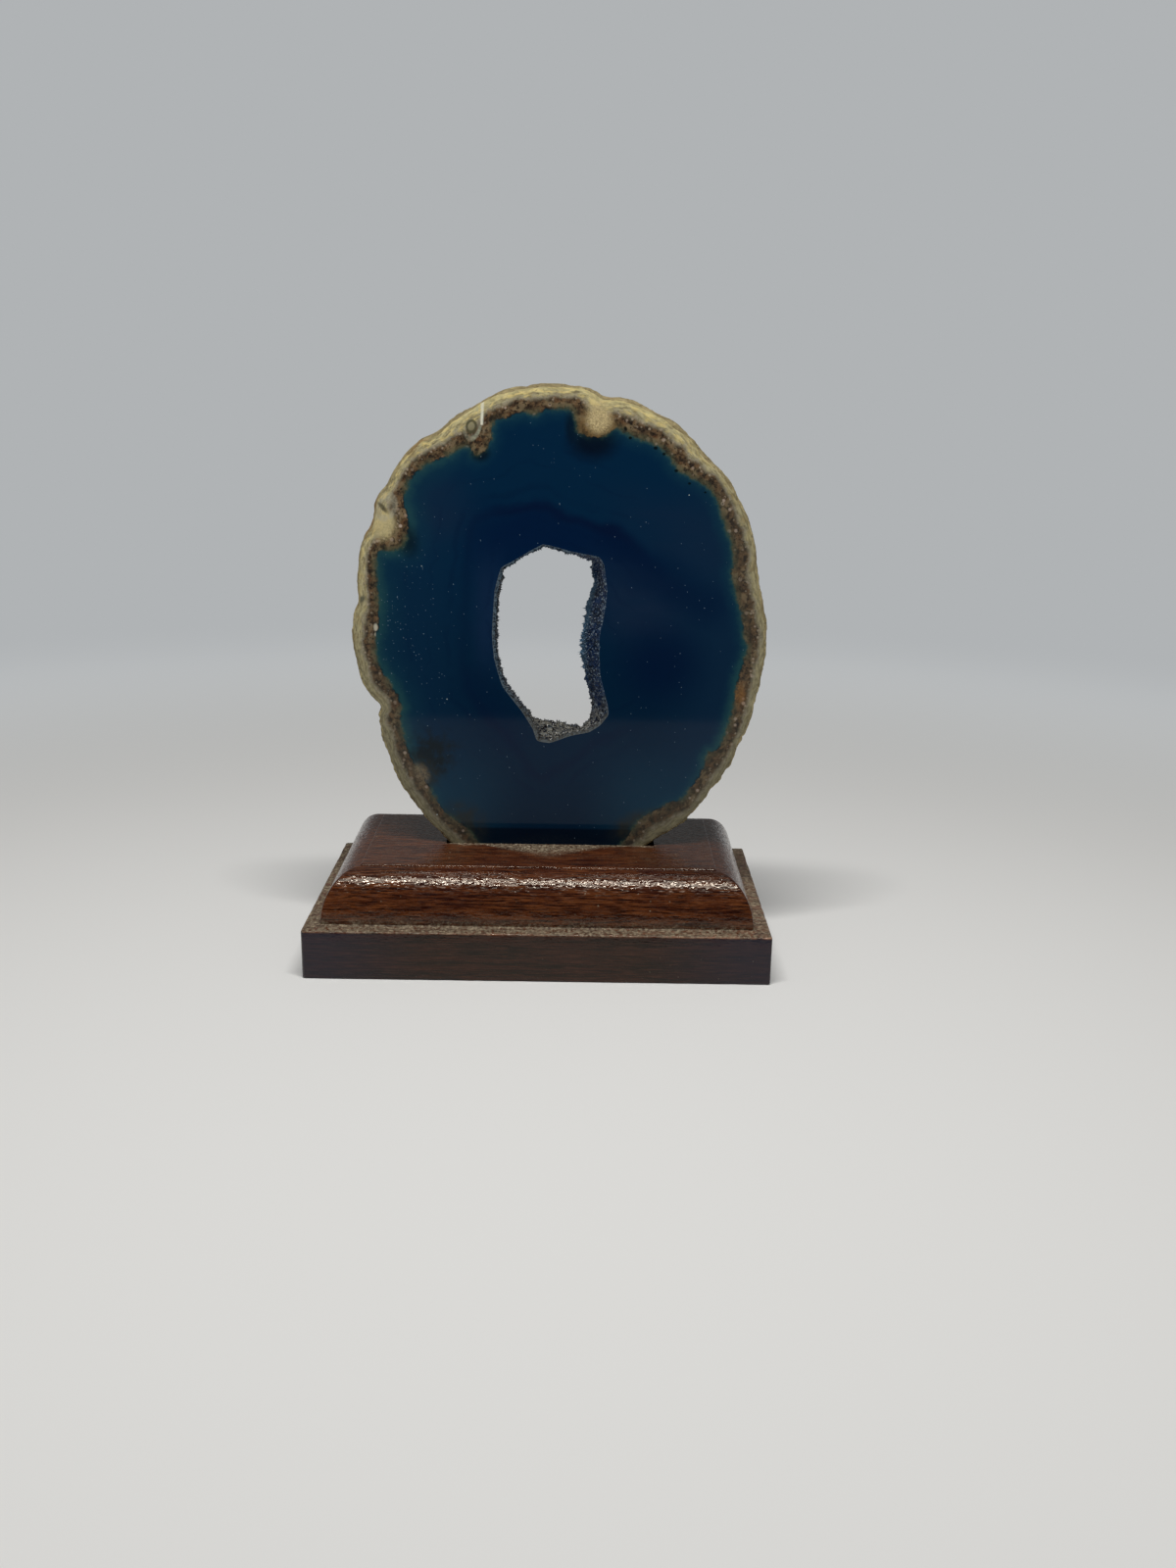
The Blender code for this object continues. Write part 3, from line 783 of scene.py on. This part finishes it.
    # Beads of chalcedony stand in a row where grey turns to brown, and a few larger ones among the brown
    bead, bead_random = agate.cells(agate.along(along, skin), 0.95, 0.8)
    beads = bead.fall(0.2, 0.4) * across.between(0.42, 0.68, 0.06) * bead_random.rise(0.2, 0.45)
    orb, orb_random = agate.cells(flat, 1.6)
    orbs = orb.fall(0.18, 0.32) * orb_random.rise(0.5, 0.6)
    dot, dot_random = agate.cells(flat, 0.75)
    dots = dot.fall(0.14, 0.34) * dot_random.rise(0.55, 0.62)
    grey = agate.washed(
        agate.blend(mould.rise(0.36, 0.62), (74, 68, 54), (130, 124, 106)),
        (grit.rise(0.5, 0.72) * 0.45, (154, 148, 130)),
        (dots * 0.45, (50, 44, 36)),
    )
    patch = patches(3.2, 1.6)
    rust = agate.noise(flat, 1.9, detail=3).rise(0.55, 0.68)
    caves = agate.noise(flat, 1.05, detail=2).rise(0.54, 0.62)
    brown = agate.washed(
        agate.blend(mould.rise(0.38, 0.62), (34, 26, 20), (86, 67, 47)),
        (grit.rise(0.5, 0.7) * 0.35, (110, 92, 70)),
        (patch.rise(0.52, 0.64) * 0.55, (112, 98, 74)),
        (patch.fall(0.36, 0.46) * 0.6, (40, 34, 28)),
        (rust * 0.45, (88, 58, 36)),
        (caves * 0.75, (20, 17, 17)),
        (orbs * 0.75, agate.blend(orb_random.rise(0.6, 1.0), (108, 94, 78), (164, 148, 134))),
        (dots * 0.8, (14, 12, 12)),
    )
    hem = patches(7.0).rise(0.42, 0.56).at_least(x.rise(11, 17) * z.rise(78, 90))
    bark = agate.washed(
        cream,
        (across.rise(0.3, 0.52), grey),
        (across.rise(0.45, 0.62), brown),
        (beads * 0.7, (140, 128, 110)),
        (rim.fall(0.3, 1.4) * hem * mould.rise(0.3, 0.55) * 0.65, (62, 66, 50)),
        (skin.fall(0.3, 0.8) * patches(4.0).rise(0.38, 0.54) * 0.4, (86, 74, 48)),
        (z.rise(106, 120) * across.fall(0.1, 0.34) * 0.35, (200, 188, 136)),
        ((dull * 0.45).at_least(x.rise(30, 44) * 0.3), (56, 55, 49)),
    )

    # Bulges and loops in the rim: a beige core with a golden-brown edge, a pale loop, and a dark slit
    mottle = 0.4 + (mould + grit - 1.0).rise(-0.16, 0.16) * 0.6
    beige = agate.blend(grit.rise(0.3, 0.7), (128, 112, 78), (178, 163, 124))
    buff = agate.blend(grit, (140, 128, 88), (172, 160, 122))
    arms = ring(-14.9, 114.7, 1.7, 3.2, -12, 0.18) * (z - x * 1.2).fall(133.0, 137.0)
    arms = arms * (0.35 + x.rise(-16.0, -14.2) * 0.65) * (1.0 - x.rise(-13.9, -13.5) * z.rise(113.5, 115.0))
    pearls = strongest(blot(-36.3, 71.2, 0.45, 0.8, 0, 0.4), blot(-36.1, 69.6, 0.5, 0.5, 0, 0.4))
    bark = agate.washed(
        bark,
        # Round bulge under the dent
        (blot(11.2, 114.6, 4.3, 3.2, 0, 0.4) * mottle * 0.75, (92, 72, 42)),
        (blot(11.6, 115.6, 2.5, 2.3, 0, 0.5) * (0.5 + mottle * 0.5), beige),
        (blot(11.4, 118.2, 2.4, 1.6, 0, 0.6) * mottle * 0.7, beige),
        # Bulge on the left
        (blot(-33.9, 93.0, 2.1, 2.8, -20, 0.5) * (0.4 + mottle * 0.6), buff),
        (ring(-33.4, 97.0, 1.7, 2.4, -25, 0.3) * mottle * 0.65, (142, 138, 120)),
        (blot(-34.2, 97.0, 0.45, 1.5, 42, 0.5) * 0.85, (58, 54, 42)),
        # Looped bulge, whose right arm is a straight white line
        (arms * (0.25 + mottle * 0.55), (134, 138, 120)),
        (stroke(-13.0, 114.6, -12.8, 119.4, 0.3, 0.5) * (0.5 + mottle * 0.4), (190, 190, 174)),
        (blot(-15.2, 114.0, 0.75, 0.9, -10, 0.4) * 0.7, (112, 108, 82)),
        (ring(-15.2, 114.0, 0.95, 1.2, -10, 0.26) * 0.9, (62, 60, 44)),
        # A dark notch, two pale spots on the left, and a rusty patch on the right
        (blot(-39.4, 77.2, 1.2, 0.6, 30, 0.5) * 0.8, (62, 64, 54)),
        (pearls * 0.8, (160, 156, 140)),
        (blot(43.6, 57.6, 1.3, 2.3, 10, 0.8) * mottle * 0.75, (112, 78, 42)),
    )

    # The rim's inner edge is soft and green in places and a dark line in others, with dark seeds along it
    seeds = blot(17.2, 114.1, 0.3, 0.45, 20)
    for seed_x, seed_z, size in ((18.2, 112.2, 0.36), (23.6, 110.2, 0.42), (25.4, 109.0, 0.36),
                                 (28.1, 105.6, 0.4), (31.0, 103.0, 0.32), (34.4, 101.2, 0.26)):
        seeds = seeds.at_least(blot(seed_x, seed_z, size, size * 0.8))
    colour = agate.washed(
        colour,
        (edge.rise(-1.0, 0.1) * hem * 0.6, (44, 66, 56)),
        (edge.rise(-0.5, 0.0) * (1.0 - hem) * 0.7, (14, 18, 21)),
        (edge.rise(hem * -0.45 - 0.15, hem * 0.2 + 0.2), bark),
        (seeds * 0.9, (5, 9, 10)),
        (blot(-26.9, 38.4, 1.5, 2.2, 30, 0.5) * mottle * 0.75, (104, 92, 74)),
    )

    # White dust specks, thickest on the left, a few longer hairs, and a few bright grains
    speck, speck_random = agate.cells(flat, 0.55)
    rarity = 0.955 - 0.36 * x.fall(-37, -14) * z.between(54, 94, 10)
    dust = speck.fall(0.05, 0.19) * (speck_random - rarity).rise(0.0, 0.01)
    leaning = agate.vector("ADD", agate.stretched(1.1, 1, 2.6), {1: agate.along(x=z * 0.28)})
    hair, hair_random = agate.cells(leaning, 2.2)
    hairs = hair.fall(0.02, 0.05) * hair_random.rise(0.84, 0.86)
    star, star_random = agate.cells(flat, 2.6)
    stars = star.fall(0.03, 0.055) * star_random.rise(0.9, 0.92)
    dust = (dust + hairs * 0.7) * edge.fall(-0.5, 0.0)
    dust = (dust * (0.2 + (mould - 0.4) * 2.6)).at_least(0.0).at_most(0.8)
    colour = agate.washed(colour, (dust, (140, 160, 176)), (stars * 0.85, (190, 204, 212)))

    roughness = 0.06 + edge.rise(-0.3, 0.3) * (0.2 + grit * 0.25)
    relief = agate.bump(edge.rise(-0.2, 0.2) * (0.6 + grit * 0.4), 0.03)
    agate.connect(Base_Color=colour, Roughness=roughness, Normal=relief)
    return agate.material


def rough_rind():
    """Makes the nodule's unpolished skin: yellow-brown, pitted and cracked, with iron in the hollows."""
    rind = Finish("rough_yellow_brown_rind", specular=0.3)
    broad = rind.noise(rind.place, 4.0, detail=3, roughness=0.6)
    fine = rind.noise(rind.place, 0.6, detail=3, roughness=0.7)
    pit, pit_random = rind.cells(rind.place, 1.1)
    pits = pit.fall(0.1, 0.4) * pit_random.rise(0.55, 0.75)
    shove = rind.vector("ADD", rind.place, {1: rind.along(broad * 5.0, fine * 2.0, broad * 4.0 + fine * 2.0)})
    crack = rind.node("TexVoronoi", {"feature": "DISTANCE_TO_EDGE"}, {"Vector": shove, "Scale": 1 / 5.5})
    cracks = crack.fall(0.0, 0.06) * broad.rise(0.42, 0.56)
    iron = rind.noise(rind.place, 9.0, detail=2).rise(0.54, 0.7)
    colour = rind.washed(
        rind.blend(broad.rise(0.36, 0.64), (96, 86, 58), (140, 129, 94)),
        (fine.rise(0.4, 0.7) * 0.5, (162, 150, 112)),
        (pits * 0.5, (70, 58, 38)),
        (cracks * 0.35, (78, 64, 44)),
        (rind.z.rise(84, 116) * 0.45, (84, 74, 50)),
        (iron * 0.45, (104, 72, 40)),
    )
    relief = rind.bump(fine * 0.6 + broad * 0.5 - pits * 0.5 - cracks * 0.5, 0.35)
    rind.connect(Base_Color=colour, Roughness=0.55 + fine * 0.4, Normal=relief)
    return rind.material


front_face, rind_rows, back_face = slice_places()
stone_rows = np.concatenate([front_face, rind_rows, back_face])
stone = closed_surface("agate_slice_polished", stone_rows, ring=True, values=slice_fields(stone_rows))
stone.data.materials.append(polished_agate())
stone.data.materials.append(rough_rind())
face_rows = np.arange(len(stone_rows))
on_rind = (face_rows >= len(front_face) - 1) & (face_rows < len(front_face) + len(rind_rows))
stone.data.polygons.foreach_set("material_index", np.repeat(on_rind, STATIONS).astype(np.int32))
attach(stone, "root")
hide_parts("agate_slice")


# Crystal crust
# Druse that grew inwards on the hollow's wall as one crust: fine quartz points, sawn through with the slab,
# so that both faces show the crust's cut edge as a narrow grey band.

CRUST_BED = 0.58
CRUST_BED_THIN = 0.16
CRYSTAL_COLUMNS = 798
CRYSTAL_ROWS = 43

# How far a point stands up: the least, what most add, and what only a few add
POINT_LEAST, POINT_USUAL, POINT_RARE = 0.06, 0.26, 0.45


def hollow_wall(depth, inset, count):
    """Gives the hollow's wall at each depth, moved in towards the opening by a distance."""
    front = loop_at(reach_at_bearings(HOLLOW_FRONT, HOLLOW_ROUNDNESS, count))
    back = loop_at(reach_at_bearings(HOLLOW_BACK, HOLLOW_ROUNDNESS, count))
    share = (np.reshape(depth, (-1, 1, 1)) / HALF_THICKNESS + 1) / 2
    wall = front * (1 - share) + back * share
    inwards = -np.stack([outwards_of(loop) for loop in wall])
    return at_depth(wall + np.asarray(inset)[..., None] * inwards, np.reshape(depth, (-1, 1)))


def crystal_places():
    """Gives the crust's rows: a triangular lattice on the bed in which every third corner is a crystal's tip.

    Each tip has six low neighbours, so it stands as a six-sided point. Corners are shifted at random along
    the bed, and tips have random heights and lean with their shift. Tufts of points stand out here and there,
    and larger points along the sawn edges. The last rows close the crust along the two faces and the wall.
    """
    chance = np.random.default_rng(7)
    shape = (CRYSTAL_ROWS, CRYSTAL_COLUMNS)
    row, column = np.indices(shape)
    tip = (column - row) % 3 == 0
    # Most points stay small, and a few stand well above them
    luck = chance.uniform(0, 1, shape)
    peak = POINT_LEAST + POINT_USUAL * luck + POINT_RARE * luck**8
    height = np.where(tip, peak, chance.uniform(-0.06, 0.03, shape))
    cluster = random_lumps(np.stack([column * 0.075, row * 0.075, np.zeros(shape)], axis=-1), 1.0, 9)
    depth = np.linspace(-HALF_THICKNESS, HALF_THICKNESS, CRYSTAL_ROWS)
    # The crust is thin along the hollow's top, and thickens from front to back up the right side
    wall = hollow_wall(depth, np.zeros((1, 1)), CRYSTAL_COLUMNS)
    tufts = np.maximum(0, random_lumps(wall, 0.62, 12)) ** 3
    height = height * (1 + 0.45 * cluster) + 0.5 * tufts
    # Larger crystals stand in a broken row along each sawn edge
    sides = np.reshape(np.sign(depth) * 7, (-1, 1)) + 0 * column
    broken = random_lumps(np.stack([column / 4.5, sides, np.zeros(shape)], axis=-1), 1.0, 13)
    near_saw = np.exp(-np.reshape((HALF_THICKNESS - abs(depth)) / 0.7, (-1, 1)) ** 2)
    height = height + (0.14 + 0.3 * broken) * near_saw
    thin = 0.75 * np.clip((wall[..., 2] - 82) / 4, 0, 1)
    side = np.clip((wall[..., 0] - 5) / 4, 0, 1) * np.clip((wall[..., 2] - 50) / 4, 0, 1)
    backwards = np.reshape(depth / HALF_THICKNESS + 1, (-1, 1)) / 2
    thin = thin + side * (1 - 1.5 * backwards - thin)
    thickness = CRUST_BED + thin * (CRUST_BED_THIN - CRUST_BED) + height * (1 - 0.3 * thin)
    bed = hollow_wall(depth, thickness, CRYSTAL_COLUMNS)
    spread = 0.3 * chance.uniform(-1, 1, shape) + row * 0.5
    whole = np.floor(spread).astype(int)
    # Slide each corner along its row: half a step more in every row, and its own random shift
    columns = np.arange(CRYSTAL_COLUMNS)
    low = bed[row, (columns + whole) % CRYSTAL_COLUMNS]
    high = bed[row, (columns + whole + 1) % CRYSTAL_COLUMNS]
    places = low + (spread - whole)[..., None] * (high - low)
    inner = (row > 0) & (row < CRYSTAL_ROWS - 1)
    step = depth[1] - depth[0]
    places[..., 1] += inner * chance.uniform(-0.3, 0.3, shape) * step
    places[..., 1] = np.clip(places[..., 1], -HALF_THICKNESS, HALF_THICKNESS)
    outer = hollow_wall(depth[[-1, 0]], np.full((2, 1), 0.01), CRYSTAL_COLUMNS)
    shift = (columns + (CRYSTAL_ROWS - 1) // 2) % CRYSTAL_COLUMNS
    grown = np.concatenate([height, np.full((2, CRYSTAL_COLUMNS), -CRUST_BED)])
    return np.concatenate([places, outer[0:1, shift], outer[1:2]]), grown


def quartz_druse():
    """Makes the crust: dark blue-grey glassy points with pale and brownish ones among them, the pale specks
    partly painted glints.
    """
    quartz = Finish("blue_grey_quartz", specular=0.3, ior=1.54)
    grown = quartz.node("Attribute", {"attribute_name": "grown"}, output="Fac")
    x, y, z = quartz.x, quartz.y, quartz.z
    tone = quartz.cells(quartz.place, 0.4)[1]
    pale = quartz.cells(quartz.place, 0.36)[1]
    cloud = quartz.noise(quartz.place, 3.0, detail=2)
    low = z.fall(49, 58).at_least(x.fall(-7, 0) * z.fall(84, 88) * 0.6)
    earth = quartz.blend(tone.rise(0.2, 0.85), (7, 6, 5), (96, 93, 82))
    rear = y.rise(0.6, 2.6) * x.rise(5, 9) * z.between(62, 82, 4)
    colour = quartz.washed(
        quartz.blend(tone, (3, 8, 18), (24, 40, 64)),
        (cloud.rise(0.4, 0.6) * 0.7, (12, 34, 66)),
        (low * 0.8, earth),
        # Pale specks: partly pale crystals, partly painted glints
        (pale.rise(0.84, 0.88) * (0.55 - low * 0.4), (126, 140, 150)),
        (grown.rise(0.15, 0.5) * x.rise(2, 8) * 0.4, (44, 60, 80)),
        (rear * 0.75, (64, 92, 114)),
    )
    # The cut edge is mottled grey, paler next to the agate. At the right it's as dark as the crystals behind
    grit = quartz.noise(quartz.place, 0.45, detail=3, roughness=0.8)
    band = quartz.washed(
        quartz.blend(grit.rise(0.42, 0.58), (7, 13, 23), (66, 80, 90)),
        ((grown + CRUST_BED).between(-0.05, 0.16, 0.08) * 0.4, (84, 96, 104)),
        (z.fall(49, 60) * 0.4, (76, 71, 60)),
        (grown.rise(0.02, 0.25) * 0.75, (14, 16, 18)),
    )
    sawn = abs(y).rise(HALF_THICKNESS - 0.05, HALF_THICKNESS - 0.01)
    right = x.rise(5, 9) * z.between(54, 84, 2)
    colour = quartz.washed(colour, (sawn * (0.95 - right * 0.6), band))
    quartz.connect(Base_Color=colour, Roughness=0.12 + tone * 0.2)
    return quartz.material


crust_places, crust_grown = crystal_places()
crust_values = {"grown": crust_grown}
crust = closed_surface("crystal_crust_druse", crust_places, ring=True, values=crust_values, triangles=True)
crust.data.shade_flat()
crust.data.materials.append(quartz_druse())
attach(crust, "root")
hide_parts("crystal_crust")


# Floor and light
# A plain pale floor that fades into an even grey distance, a soft sky, and one long, narrow lamp overhead.
# Polished surfaces don't see the floor beyond its front edge, nor any sky low in front of the object.

DISTANCE_GREY = pigment(176, 179, 181, 1.0)

# The floor's edge and the lamp's size and place are in metres
FLOOR_EDGE = -0.22
LAMP_LENGTH = 0.34
LAMP_WIDTH = 0.03
LAMP_HEIGHT = 0.5
LAMP_FORWARD = 0.15
LAMP_WATTS = 2.1


def floor_piece(name, near, far):
    """Makes a flat floor between two y values, wide enough for any view."""
    corners = [(-6, near, 0), (6, near, 0), (6, far, 0), (-6, far, 0)]
    mesh = bpy.data.meshes.new(name)
    mesh.from_pydata(corners, [], [(0, 1, 2, 3)])
    piece = bpy.data.objects.new(name, mesh)
    bpy.context.scene.collection.objects.link(piece)
    return piece


def floor_paint():
    """Makes pale matt paint that gives way to the distance's own colour far from the pool of light."""
    paint = Finish("pale_matt_floor", specular=0.0)
    pool = paint.vector("ADD", paint.place, {1: (0.0, 110.0, 0.0)})
    away = paint.vector("LENGTH", pool, {}, output="Value")
    far = away.rise(215, 470)
    horizon = paint.mix(away.rise(230, 560), pigment(200, 202, 202, 1.0), DISTANCE_GREY)
    paint.connect(Base_Color=paint.mix(far, (0.8, 0.805, 0.8), (0.0, 0.0, 0.0)), Roughness=1.0,
                  Emission_Color=paint.mix(far, (0.0, 0.0, 0.0), horizon))
    paint.shader.inputs["Emission Strength"].default_value = 1.0
    return paint.material


floor_back = floor_piece("floor_behind_edge", FLOOR_EDGE, 6)
floor_front = floor_piece("floor_before_edge", -6, FLOOR_EDGE)
floor_front.visible_glossy = False
pale_floor = floor_paint()
floor_back.data.materials.append(pale_floor)
floor_front.data.materials.append(pale_floor)


def soft_sky():
    """Lights the scene from above the horizon only, and shows the camera an even grey."""
    world = bpy.data.worlds.new("soft_sky")
    world.use_nodes = True
    sky = Nodes(world.node_tree)
    background = sky.tree.nodes["Background"]
    direction = sky.node("TexCoord", output="Generated")
    y = sky.node("SeparateXYZ", sockets={0: direction}, output=1)
    z = sky.node("SeparateXYZ", sockets={0: direction}, output=2)
    rays = sky.node("LightPath")
    seen = Value(sky, rays.socket.node.outputs["Is Camera Ray"])
    mirrored = Value(sky, rays.socket.node.outputs["Is Glossy Ray"])
    diffuse = z.rise(-0.02, 0.02) * 0.12
    glossy = (z + y).rise(0.0, 0.9) * z.rise(-0.02, 0.02) * 0.19
    lit = diffuse + mirrored * (glossy - diffuse)
    colour = sky.mix(seen, (0.97, 0.99, 1.0), DISTANCE_GREY)
    sky.put(background.inputs["Color"], colour)
    sky.put(background.inputs["Strength"], lit + seen * (1.0 - lit))
    return world


def overhead_lamp():
    """Makes a long, narrow soft lamp above the object and a little in front of it, turned towards it."""
    data = bpy.data.lights.new("overhead_lamp", "AREA")
    data.shape = "RECTANGLE"
    data.size = LAMP_LENGTH
    data.size_y = LAMP_WIDTH
    data.energy = LAMP_WATTS
    data.color = (1.0, 0.98, 0.95)
    lamp = bpy.data.objects.new("overhead_lamp", data)
    lamp.location = (0.0, -LAMP_FORWARD, LAMP_HEIGHT)
    lamp.rotation_euler = (math.atan2(LAMP_FORWARD, LAMP_HEIGHT), 0.0, 0.0)
    bpy.context.scene.collection.objects.link(lamp)


bpy.context.scene.world = soft_sky()
overhead_lamp()
bpy.context.scene.view_settings.view_transform = "Standard"


# Camera
# It stands where the photograph was taken from: level with the slice's top, looking down on the stand.

PITCH, YAW, ROLL = (math.radians(angle) for angle in (15.885, 0.325, 0.947))
CAMERA_PLACE = np.array([8.78, -309.14, 123.54])
SENSOR_WIDTH = 36.0
FOCAL_LENGTH = 32.5

forward = np.array([math.sin(YAW) * math.cos(PITCH), math.cos(YAW) * math.cos(PITCH), -math.sin(PITCH)])
level_right = np.array([math.cos(YAW), -math.sin(YAW), 0.0])
level_up = np.cross(level_right, forward)
right = math.cos(ROLL) * level_right + math.sin(ROLL) * level_up
up = -math.sin(ROLL) * level_right + math.cos(ROLL) * level_up

camera_data = bpy.data.cameras.new("camera")
camera_data.sensor_width = SENSOR_WIDTH
camera_data.lens = FOCAL_LENGTH
camera_data.clip_start = 0.01
camera = bpy.data.objects.new("camera", camera_data)
placing = np.eye(4)
placing[:3, 0], placing[:3, 1], placing[:3, 2] = right, up, -forward
placing[:3, 3] = CAMERA_PLACE * MM
camera.matrix_world = Matrix(placing.tolist())
bpy.context.scene.collection.objects.link(camera)
bpy.context.scene.camera = camera
